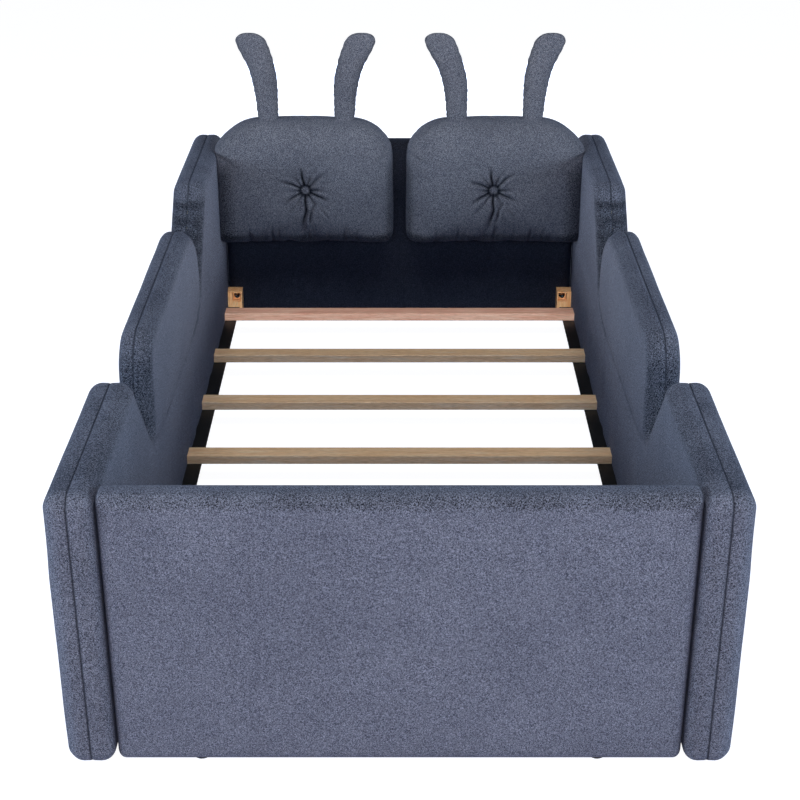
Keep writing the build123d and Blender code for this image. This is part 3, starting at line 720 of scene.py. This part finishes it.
def finish_carried_nodes():
    """Each CAD node that stays gets the material of the real piece."""
    for name, piece in frame["nodes"].items():
        chosen = next(
            material for start, end, material in CARRIED_MATERIALS if name.startswith(start) and name.endswith(end)
        )
        for slot in piece.material_slots:
            slot.material = chosen
        if not piece.material_slots:
            piece.data.materials.append(chosen)


def dress(piece, material, body, slot, *nodes, fill=None):
    """Give a piece its material and body, and hide the nodes that it stands for. The slot is not used."""
    piece.data.materials.clear()
    piece.data.materials.append(material)
    if nodes:
        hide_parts(*nodes)
    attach(piece, body)


# Upholstered panels


def dress_panel(piece, fabric):
    node = piece.name.replace("_upholstery", "_cover")
    dress(piece, fabric, "bed_frame", "cover_fabric", node, fill=0.95)


def build_sides():
    inner = build_side_half("inner", 11)
    outer = join_shells([build_side_half("body", 23), build_side_half("petal", 31)])
    for name, shell in (("inner", inner), ("outer", outer)):
        right = new_object("right_side_" + name + "_upholstery", *shell)
        left = mirrored(right, "left_side_" + name + "_upholstery")
        dress_panel(right, panel_fabric)
        dress_panel(left, panel_fabric)


def build_ends():
    boards = (("headboard", HEADBOARD_HEIGHT, 1, 41), ("footboard", FOOTBOARD_HEIGHT, -1, 53))
    for board, height, facing, seed in boards:
        for name, outward in (("inner", False), ("outer", True)):
            half = build_end_half(height, outward, facing, seed + outward)
            piece = new_object(board + "_" + name + "_upholstery", *half)
            # The headboard's inner face gets the darker copy of the cloth, as painted shade.
            gets_painted_shade = board == "headboard" and not outward
            dress_panel(piece, painted_shade_fabric if gets_painted_shade else panel_fabric)


# Cushions

CUSHION_OUTLINE = [
    (-HALF_CUSHION, 0, 24), (HALF_CUSHION, 0, 24),
    (HALF_CUSHION, CUSHION_HEIGHT, 114), (-HALF_CUSHION, CUSHION_HEIGHT, 114),
]


def cushion_ring(scale_width, scale_height, depth):
    """Rounded front view of a cushion, scaled about its middle, at one depth from its back."""
    ring = rounded_ring(CUSHION_OUTLINE, 0, 9)
    middle = CUSHION_HEIGHT / 2
    at_side = np.abs(ring[:, 0]) > HALF_CUSHION - 5
    side_pull = 3 * np.sin(np.pi * np.clip(ring[:, 1] / CUSHION_HEIGHT, 0, 1)) * at_side
    across = ring[:, 0] - np.sign(ring[:, 0]) * side_pull
    up = ring[:, 1] + 3 * np.cos(np.pi * ring[:, 0] / CUSHION_WIDTH) * np.where(ring[:, 1] > middle, 1, 1.6)
    low_scale = 1 - (1 - scale_height) * LOW_FULLNESS
    scale = np.where(up > middle, scale_height, low_scale)
    return np.column_stack([across * scale_width, -np.full(len(ring), depth), middle + (up - middle) * scale])


def stuffed_shell():
    """Closed cushion before its filling swells it: back at zero, front towards -Y."""
    rings = []
    half, tall = HALF_CUSHION, CUSHION_HEIGHT / 2

    def add(inset, depth, extra=1.0):
        rings.append(cushion_ring((half - inset) / half * extra, (tall - inset) / tall * extra, depth))

    def bend(step, steps):
        angle = math.pi / 2 * step / steps
        return 1 - math.cos(angle) ** CUSHION_ROUNDNESS, math.sin(angle) ** CUSHION_ROUNDNESS

    for extra in (0.15, 0.45, 0.75):
        add(BACK_RIM, 0, extra)
    for step in range(7, -1, -1):
        inwards, forward = bend(step, 7)
        add(BACK_RIM * inwards, SEAM_DEPTH * (1 - forward))
    rise = CUSHION_THICKNESS - SEAM_DEPTH - 8
    for step in range(1, 11):
        inwards, forward = bend(step, 10)
        add(FRONT_RIM * inwards, SEAM_DEPTH + rise * forward)
    for extra in (0.75, 0.45, 0.15):
        add(FRONT_RIM, SEAM_DEPTH + rise + 6 * (1 - extra), extra)
    return np.vstack(rings), closed_faces(rings)


def from_button(points):
    return np.hypot(points[:, 0], points[:, 2] - TUFT_HEIGHT)


def pull_tuft(points, depth, radius):
    """Draw the front in around the button."""
    front = soft_step(-70, -100, points[:, 1])
    points[:, 1] += depth * np.exp(-((from_button(points) / radius) ** 1.25)) * front
    return points


# Cloth of the cushions' covers, and the pressure of their filling
COVER_CLOTH = {
    "quality": 6, "mass": 0.3, "tension_stiffness": 12, "compression_stiffness": 12, "shear_stiffness": 5,
    "bending_stiffness": 0.4, "use_pressure": True, "uniform_pressure_force": 4, "vertex_group_mass": "held",
}


def fill_pad(pad, start):
    """Swell a cushion pad by a cloth simulation, with the tuft and the back held."""
    held = ((from_button(start) < HELD_ROUND_BUTTON) & (start[:, 1] < -70)) | (start[:, 1] > -HELD_AT_BACK)
    group = pad.vertex_groups.new(name="held")
    group.add([int(index) for index in np.nonzero(held)[0]], 1.0, "REPLACE")
    cloth = pad.modifiers.new("filling", "CLOTH")
    for name, value in COVER_CLOTH.items():
        setattr(cloth.settings, name, value)
    cloth.settings.effector_weights.gravity = 0
    cloth.collision_settings.use_collision = False
    cloth.point_cache.frame_start = 1
    cloth.point_cache.frame_end = FILLING_FRAMES
    scene = bpy.context.scene
    for number in range(1, FILLING_FRAMES + 1):
        scene.frame_set(number)
    moved = mesh_points(evaluated_mesh(pad)) - start
    length = np.linalg.norm(moved, axis=1)
    moved *= np.where(length > FILLING_LIMIT, FILLING_LIMIT / np.maximum(length, 1e-6), 1)[:, None]
    scene.frame_set(1)
    pad.modifiers.clear()
    set_points(pad.data, start + moved)


def swollen_cushion():
    """Cushion shell with an even net, filled and rounded."""
    shell = new_object("cushion_shell", *stuffed_shell())
    remesh = shell.modifiers.new("even_net", "REMESH")
    remesh.mode = "VOXEL"
    remesh.voxel_size = CUSHION_NET * MM
    mesh = evaluated_mesh(shell)
    bpy.data.objects.remove(shell)
    start = pull_tuft(mesh_points(mesh), 24, 34)
    set_points(mesh, start)
    pad = link_new("cushion_pad", mesh)
    fill_pad(pad, start)
    subdivide_once(pad)
    mesh = evaluated_mesh(pad)
    bpy.data.objects.remove(pad)
    return mesh


# Creases round a button: direction in degrees, length, depth and sideways wander
TUFT_CREASES = [
    (101, 74, 8.5, 2), (267, 118, 8.5, -4), (210, 70, 7.0, 2), (154, 78, 6.5, 3),
    (-25, 70, 7.5, 2), (44, 84, 4.6, 3), (2, 54, 5.0, 1), (70, 58, 3.8, 1),
    (128, 54, 4.0, 1), (181, 42, 4.6, 1), (236, 50, 4.0, 1), (-58, 54, 4.4, 2),
]
# Short folds away from the button: place across and up from it, direction, length and depth
LOOSE_FOLDS = [(13, -70, 262, 40, 5.5), (22, -44, 250, 26, 3.2), (-40, -52, 40, 40, 2.2), (52, -62, 130, 34, 2.2)]
# Pleats on the bottom edge: place across and depth
BOTTOM_PLEATS = [(-98, 5.0), (-79, 2.6), (4, 4.0), (60, 2.0), (104, 5.0), (140, 3.0), (-160, 2.6)]


def along_and_sideways(across, up, degrees):
    """Distance along a direction and sideways from it."""
    away = math.radians(degrees)
    along = across * math.cos(away) + up * math.sin(away)
    return along, up * math.cos(away) - across * math.sin(away)


def groove(sideways, fade, deep, width, lip_place, lip_width, shade_width):
    """Push and painted shade of one crease: a groove between two low lips."""
    push = bell(sideways, width) - 0.3 * bell(np.abs(sideways) - lip_place, lip_width)
    return deep * push * fade, 0.15 * deep * bell(sideways, shade_width) * fade


def crease_cushion(points, sign, seed):
    """Folds that the button pulls, the seam along the edge and the pleats at the bottom, with painted shade in
    them, under the cushion and at its sides.
    """
    across, depth, up = points[:, 0], -points[:, 1], points[:, 2] - TUFT_HEIGHT
    reach = np.hypot(across, up)
    front = soft_step(75, 105, depth)
    creases = []
    for place, (degrees, length, deep, wander) in enumerate(TUFT_CREASES):
        along, sideways = along_and_sideways(across, up, degrees)
        sideways = sideways - wander * np.sin(along / 14 + place) * soft_step(18, 60, along)
        width = 2.3 + 0.03 * reach
        fade = soft_step(length * 1.1, length * 0.45, along) * soft_step(8, 15, along)
        creases.append(groove(sideways, fade, deep, width, 2.6 * width, 1.3 * width, 0.85 * width))
    for right, above, degrees, length, deep in LOOSE_FOLDS:
        along, sideways = along_and_sideways(across - right, up - above, degrees)
        creases.append(groove(sideways, bell(along, length / 2), deep, 3.4, 9, 4.5, 2.6))
    push, fold_shade = np.sum(creases, axis=0) * front
    # Painted shade in a ring round the button.
    fold_shade += 0.85 * bell(reach - BUTTON_RADIUS - 1, 4.5) * front
    # Pleats on the bottom edge, each with painted shade.
    run = soft_step(64, 22, points[:, 2]) * soft_step(50, 85, depth)
    for place, deep in BOTTOM_PLEATS:
        pleat = deep * bell(across - place - 0.06 * points[:, 2], 3.8) * run
        push += pleat
        fold_shade += 0.13 * pleat
    out = 1.4 * bumps(points, 62, seed) + 0.7 * bumps(points, 27, seed + 1)
    low = soft_step(26, 4, points[:, 2]) * soft_step(40, 80, depth)
    points[:, 1] += push - out * front
    points[:, 2] += low * 0.8 * np.sin(across / 9 + 2 * bumps(points, 50, seed + 2))
    height = points[:, 2]
    edge = (np.abs(across) > HALF_CUSHION - 40) | (height < 40) | (height > CUSHION_HEIGHT - 40)
    seam = bell(depth - SEAM_DEPTH, 3.5) * edge
    inward = np.array([0, 0, CUSHION_HEIGHT / 2]) - points * (1, 0, 1)
    inward /= np.maximum(np.linalg.norm(inward, axis=1), 1)[:, None]
    points += inward * (2.2 * seam)[:, None]
    # Painted shade along the seam.
    fold_shade += 0.5 * bell(depth - SEAM_DEPTH, 2.0) * edge
    # Painted shade where the cushion turns under, wide at its outer side and narrow at its inner side, and darker
    # painted shade under it.
    uneven = 0.3 * bumps(points, 45, seed + 3) * soft_step(50, 20, height)
    under_shade = (soft_step(34, 14, height) + uneven) * soft_step(30, 70, depth)
    outer_shade = soft_step(HALF_CUSHION - 60, HALF_CUSHION - 14, sign * across)
    inner_shade = soft_step(HALF_CUSHION - 24, HALF_CUSHION - 6, -sign * across)
    side_shade = np.maximum(outer_shade, inner_shade) * soft_step(250, 190, height)
    fold_shade = np.maximum(fold_shade, 0.62 * np.clip(under_shade, 0, 1))
    return points, fold_shade, 0.6 * under_shade + 0.55 * side_shade


# Height above the floor, sway outwards, width and thickness of an ear
EAR_TABLE = np.array([
    (EAR_FOOT, 0.4, 53, 32), (628, 0.8, 54, 33), (637, 1.5, 55, 34), (654, 2.3, 57, 36), (670, 2.6, 57.5, 37),
    (687, 3.6, 60, 38.5), (704, 4.8, 63, 39.5), (720, 6.6, 65, 40.5), (737, 9, 68, 41), (753, 12.5, 70, 40.5),
    (769, 17.3, 71.5, 40), (786, 23, 76, 38.5), (802, 29.8, 79, 36), (818, 36.6, 82, 33), (834, 42.6, 82, 28.5),
    (844, 45.5, 76, 24), (851, 47, 63, 18.5), (856, 47.6, 44, 12), (EAR_TIP, 47.8, 22, 6),
])
EAR_HEIGHTS = np.concatenate([np.linspace(EAR_FOOT, 840, 48), [845, 849, 852.5, 855.5, 857.5, EAR_TIP]])
EAR_SIDES = 40
# How far each ear stands off its even place, at the foot and at the tip
EAR_SHIFTS = {
    ("left", "left"): (1.5, 4), ("left", "right"): (8, 11),
    ("right", "left"): (-2, -8), ("right", "right"): (4, 1.5),
}


def fuller(values, half, power):
    """Sines or cosines scaled to half a width, on a fuller curve than an ellipse."""
    return half * np.sign(values) * np.abs(values) ** power


def build_ear(name, side, cushion_x, foot_shift, tip_shift, seed):
    """Stuffed ear that leans outwards to its side, with a seam up each edge and a gathered foot."""
    cosines, sines = np.cos(ring_angles(EAR_SIDES)), np.sin(ring_angles(EAR_SIDES))
    at_seam = np.abs(cosines) ** 14
    rings, fold_shades = [], []
    for height in EAR_HEIGHTS:
        sway, width, thick = (np.interp(height, EAR_TABLE[:, 0], column) for column in EAR_TABLE[:, 1:].T)
        gathered = soft_step(760, 690, height)
        ruffle = 1.5 * gathered * at_seam * math.sin(height / 2.1) + 0.7 * at_seam * math.sin(height / 3.7 + seed)
        x = fuller(cosines, width / 2, 0.82)
        x = x + np.sign(x) * (ruffle + 0.8 * at_seam)
        y = fuller(sines, thick / 2, 0.95)
        shift = foot_shift + (tip_shift - foot_shift) * soft_step(700, 840, height)
        across = side * (EAR_SPACING / 2 + sway) + shift + x
        rings.append(np.column_stack([across, y, np.full(EAR_SIDES, height)]))
        # Painted shade along each seam and in the gathers at the foot.
        fold_shades.append(0.3 * at_seam + 0.2 * gathered * at_seam * (1 - math.sin(height / 2.1)) / 2)
    points = np.vstack(rings)
    points[:, 1] += 0.9 * bumps(points, 40, seed) + 0.5 * bumps(points, 17, seed + 1)
    points += (cushion_x, CUSHION_BACK - CUSHION_THICKNESS / 2, 0)
    ear = new_object(name, points, closed_faces(rings), np.concatenate(fold_shades))
    subdivide_once(ear)
    keep_result(ear)
    return ear


# Profiles of a front and a back button as radius and distance forward, and how far forward the front one sits
BUTTON_DOME = [
    (2, 0), (12, 0), (13.4, 1.2), (13.8, 3), (13.4, 5), (12, 7.2), (9.7, 9), (6.5, 10.3), (3.2, 10.9), (0.6, 11),
]
BUTTON_DISC = [(2, 0), (11.5, 0), (12.8, 1), (13, 2), (12.8, 3), (11.5, 4), (2, 4)]
BUTTON_FRONT = 113
BUTTON_SIDES = 32


def turned(profile, x, y, fold_shade):
    """A button turned about its own axis along -Y, gathered like cloth round a mould."""
    angles = ring_angles(BUTTON_SIDES)
    rings, fold_shades = [], []
    for radius, forward in profile:
        reach = radius * (1 + 0.015 * np.sin(9 * angles) * (radius > 6))
        up = CUSHION_BOTTOM + TUFT_HEIGHT + reach * np.sin(angles)
        rings.append(np.column_stack([x + reach * np.cos(angles), np.full(BUTTON_SIDES, y - forward), up]))
        # Painted shade round the gathered rim of the front button.
        fold_shades.append(np.full(BUTTON_SIDES, fold_shade if radius > 12.5 and forward < 7 else 0.0))
    return np.vstack(rings), closed_faces(rings), np.concatenate(fold_shades)


def build_buttons(name, cushion_x):
    front = turned(BUTTON_DOME, cushion_x, CUSHION_BACK - BUTTON_FRONT, 0.35)
    back = turned(BUTTON_DISC, cushion_x, CUSHION_BACK, 0)
    return new_object(name, *join_shells([front, back]))


def beside_panel(up):
    """How far out a cushion may reach before it meets the side panel and its rounded top edge."""
    over = np.clip(CUSHION_BOTTOM + up - (SIDE_HEIGHT - PANEL_ROUNDING), 0, PANEL_ROUNDING)
    rounding = PANEL_ROUNDING - np.sqrt(PANEL_ROUNDING**2 - over**2)
    return HALF_INSIDE - CUSHION_MIDDLE - 1.2 + rounding


def fit_cushion(points, sign):
    """Press the filled cushion to its cut size: flatter in front, fuller where it leans on the side panel."""
    outward = sign * points[:, 0]
    depth = -points[:, 1]
    share = np.clip((depth - SEAM_DEPTH) / (FULL_DEPTH - SEAM_DEPTH), 0, 1)
    flat_front = SEAM_DEPTH + share**0.74 * (FULL_DEPTH - SEAM_DEPTH)
    points[:, 1] = -np.where(depth > SEAM_DEPTH, flat_front, depth)
    leaning = soft_step(0, 160, outward) * soft_step(335, 235, points[:, 2])
    points[:, 0] *= np.where(outward > 0, 1.006 + 0.08 * leaning, 1.012)
    up = points[:, 2] - TUFT_HEIGHT
    points[:, 2] = TUFT_HEIGHT + up * np.where(up > 0, 0.957, 1.035)
    return points


def build_cushions():
    base = swollen_cushion()
    for side, sign, seed in (("left", -1, 71), ("right", 1, 83)):
        body = side + "_back_cushion"
        middle = sign * CUSHION_MIDDLE
        mesh = base.copy()
        points = mesh_points(mesh)
        points[:, 0] *= sign
        if sign < 0:
            mesh.flip_normals()
        points, fold_shade, pucker_shade = crease_cushion(fit_cushion(points, sign), sign, seed)
        points[:, 0] = sign * np.minimum(sign * points[:, 0], beside_panel(points[:, 2]))
        points[:, 1] = np.clip(points[:, 1], -FULL_DEPTH, 0)
        set_points(mesh, points + (middle, CUSHION_BACK, CUSHION_BOTTOM))
        smooth_and_mark(mesh, fold_shade, pucker_shade)
        pad = link_new(side + "_cushion_pad", mesh)
        dress(pad, cushion_fabric, body, "cushion_fabric", side + "_cushion", fill=0.8)
        for ear_side, ear_sign in (("left", -1), ("right", 1)):
            node = side + "_cushion_" + ear_side + "_ear"
            ear = build_ear(node + "_plush", ear_sign, middle, *EAR_SHIFTS[side, ear_side], seed + ear_sign)
            dress(ear, cushion_fabric, body, "cushion_fabric", node, fill=0.85)
        buttons = build_buttons(side + "_cushion_covered_buttons", middle)
        dress(buttons, cushion_fabric, body, "cushion_fabric", side + "_cushion_buttons")


# Seam stitches

SEAM_PITCH = 6
# Place along a stitch and its radius there
STITCH_PROFILE = ((-2.2, 0.12), (-1.5, 0.35), (0, 0.4), (1.5, 0.35), (2.2, 0.12))
STITCH_SIDES = 5


def stitch_tree(stitch, material):
    """Geometry nodes that lay one stitch after another along a seam."""
    tree = bpy.data.node_groups.new("seam_stitches", "GeometryNodeTree")
    for way in ("INPUT", "OUTPUT"):
        tree.interface.new_socket("Geometry", in_out=way, socket_type="NodeSocketGeometry")
    pitch = tree.interface.new_socket("Stitch pitch", in_out="INPUT", socket_type="NodeSocketFloat")
    given = add_node(tree, "NodeGroupInput").outputs
    path = add_node(tree, "GeometryNodeMeshToCurve", {"Mesh": given["Geometry"]}).outputs["Curve"]
    spacing = {"Curve": path, "Length": given["Stitch pitch"]}
    even = add_node(tree, "GeometryNodeResampleCurve", spacing, mode="LENGTH").outputs["Curve"]
    run = add_node(tree, "GeometryNodeInputTangent").outputs["Tangent"]
    turn = add_node(tree, "FunctionNodeAlignRotationToVector", {"Vector": run}, axis="X").outputs["Rotation"]
    one = add_node(tree, "GeometryNodeObjectInfo", {"Object": stitch}).outputs["Geometry"]
    laid = add_node(tree, "GeometryNodeInstanceOnPoints", {"Points": even, "Instance": one, "Rotation": turn})
    real = add_node(tree, "GeometryNodeRealizeInstances", {"Geometry": laid.outputs["Instances"]})
    thread = {"Geometry": real.outputs["Geometry"], "Material": material}
    painted = add_node(tree, "GeometryNodeSetMaterial", thread)
    add_node(tree, "NodeGroupOutput", {"Geometry": painted.outputs["Geometry"]})
    return tree, pitch.identifier


def small_stitch():
    """One stitch, 4.4 mm long and 0.8 mm thick, with tapered ends."""
    angles = ring_angles(STITCH_SIDES)
    rings = [
        np.column_stack([np.full(STITCH_SIDES, x), radius * np.cos(angles), radius * np.sin(angles)])
        for x, radius in STITCH_PROFILE
    ]
    return new_object("stitch", np.vstack(rings), closed_faces(rings))


def sew(name, path):
    """Stitches along a closed seam path in millimetres, as one plain mesh."""
    mesh = bpy.data.meshes.new(name)
    edges = [(index, (index + 1) % len(path)) for index in range(len(path))]
    mesh.from_pydata((path * MM).tolist(), edges, [])
    guide = link_new(name, mesh)
    stitch = small_stitch()
    tree, pitch = stitch_tree(stitch, seam_thread)
    nodes = guide.modifiers.new("stitches", "NODES")
    nodes.node_group = tree
    nodes[pitch] = SEAM_PITCH * MM
    guide.update_tag()
    keep_result(guide)
    bpy.data.objects.remove(stitch)
    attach(guide, "bed_frame")


def sew_panels():
    """Thread in the seam of each side panel."""
    ring = rounded_ring(SIDE_OUTLINE, SIDE_SEAM_PULL)
    right = np.column_stack([seam_place(on_petal(ring)), ring])
    sew("right_side_seam_thread", right)
    sew("left_side_seam_thread", right * (-1, 1, 1))


# Studio

# Camera of the photo's view: place in metres, degrees down from level, lens and shift
CAMERA_PLACE = (0, -3.2756, 1.7871)
CAMERA_DOWN = 25.706
CAMERA_LENS = 70.296
CAMERA_SHIFT = 0.0006
FLOOR_REACH = 30
# Name, place, point that it faces, width, height, watts and colour
SOFTBOXES = [
    ("front_softbox", (0, -4.6, 0.52), (0, -0.6, 0.3), 3.4, 0.8, 81, "#FFE8CE"),
    ("left_softbox", (-3.4, -1.6, 1.2), (0.4, 0.2, 0.4), 2.6, 0.9, 93, "#E2F5FF"),
    ("right_softbox", (3.4, -1.6, 1.2), (-0.4, 0.2, 0.4), 2.6, 0.9, 93, "#E2F5FF"),
    ("middle_softbox", (0, -4.4, 2.3), (0, 0, 0.3), 2.6, 0.8, 44, "#B9D4FF"),
    ("high_softbox", (0, -1.1, 3.6), (0, 0.3, 0.1), 2.6, 1.0, 66, "#F6F7F4"),
    ("back_softbox", (0, 4.2, 0.3), (0, 1, 0.3), 3.2, 0.5, 90, "#E6F0FF"),
]


def soft_light(name, place, target, width, height, power, colour):
    data = bpy.data.lights.new(name, "AREA")
    data.shape = "RECTANGLE"
    data.size = width
    data.size_y = height
    data.energy = power
    data.color = linear(colour)[:3]
    light = link_new(name, data)
    light.location = place
    light.rotation_euler = (Vector(target) - light.location).to_track_quat("-Z", "Y").to_euler()
    return light


def light_shaded_pieces():
    """Unseen fill that reaches only the timber at the head end, or only the side panels' inner faces."""
    timber = [frame["nodes"][name] for name in ("slat_7", "corner_block_head_left", "corner_block_head_right")]
    inner = [bpy.data.objects[side + "_side_inner_upholstery"] for side in ("left", "right")]
    for pieces, name, *rest in (
        (timber, "timber_spot", (0, -2.8, 1.75), (0, 0.9, 0.1), 1.2, 0.5, 82, "#F0FFF2"),
        (inner, "inner_fill", (0, 0.55, 0.16), (0, 0.55, 1), 0.4, 1.1, 3.4, "#FFFBF2"),
    ):
        light = soft_light(name, *rest)
        light.visible_camera = False
        light.light_linking.receiver_collection = bpy.data.collections.new(name + "_lit")
        for piece in pieces:
            light.light_linking.receiver_collection.objects.link(piece)


def build_studio():
    """Camera at the photo's angle, white floor and pale room, and soft light from low in front and all round."""
    scene = bpy.context.scene
    data = bpy.data.cameras.new("photo_camera")
    data.lens = CAMERA_LENS
    data.sensor_width = 36
    data.shift_x = CAMERA_SHIFT
    camera = link_new("photo_camera", data)
    camera.location = CAMERA_PLACE
    camera.rotation_euler = (math.radians(90 - CAMERA_DOWN), 0, 0)
    scene.camera = camera
    scene.view_settings.view_transform = "Standard"
    scene.view_settings.look = "None"

    mesh = bpy.data.meshes.new("studio_floor")
    corners = [(x * FLOOR_REACH, y * FLOOR_REACH, 0) for x, y in ((-1, -1), (1, -1), (1, 1), (-1, 1))]
    mesh.from_pydata(corners, [], [(0, 1, 2, 3)])
    floor = link_new("studio_floor", mesh)
    paper, tree, shader = new_material("white_studio_paper")
    shader.inputs["Base Color"].default_value = linear("#838FAA")
    shader.inputs["Roughness"].default_value = 1
    seen = add_node(tree, "ShaderNodeLightPath").outputs["Is Camera Ray"]
    glow = math_node(tree, "MULTIPLY", seen, 0.97)
    tree.links.new(glow, shader.inputs["Emission Strength"])
    mesh.materials.append(paper)

    world = bpy.data.worlds.new("pale_room")
    world.use_nodes = True
    scene.world = world
    room = world.node_tree
    sky = room.nodes["Background"]
    seen = add_node(room, "ShaderNodeLightPath").outputs["Is Camera Ray"]
    level = add_node(room, "ShaderNodeMapRange", {"Value": seen, "To Min": 0.01, "To Max": 1.0})
    sky.inputs["Color"].default_value = linear("#F4F6FA")
    room.links.new(level.outputs["Result"], sky.inputs["Strength"])

    for softbox in SOFTBOXES:
        soft_light(*softbox)


build_studio()
finish_carried_nodes()
build_sides()
build_ends()
sew_panels()
build_cushions()
light_shaded_pieces()
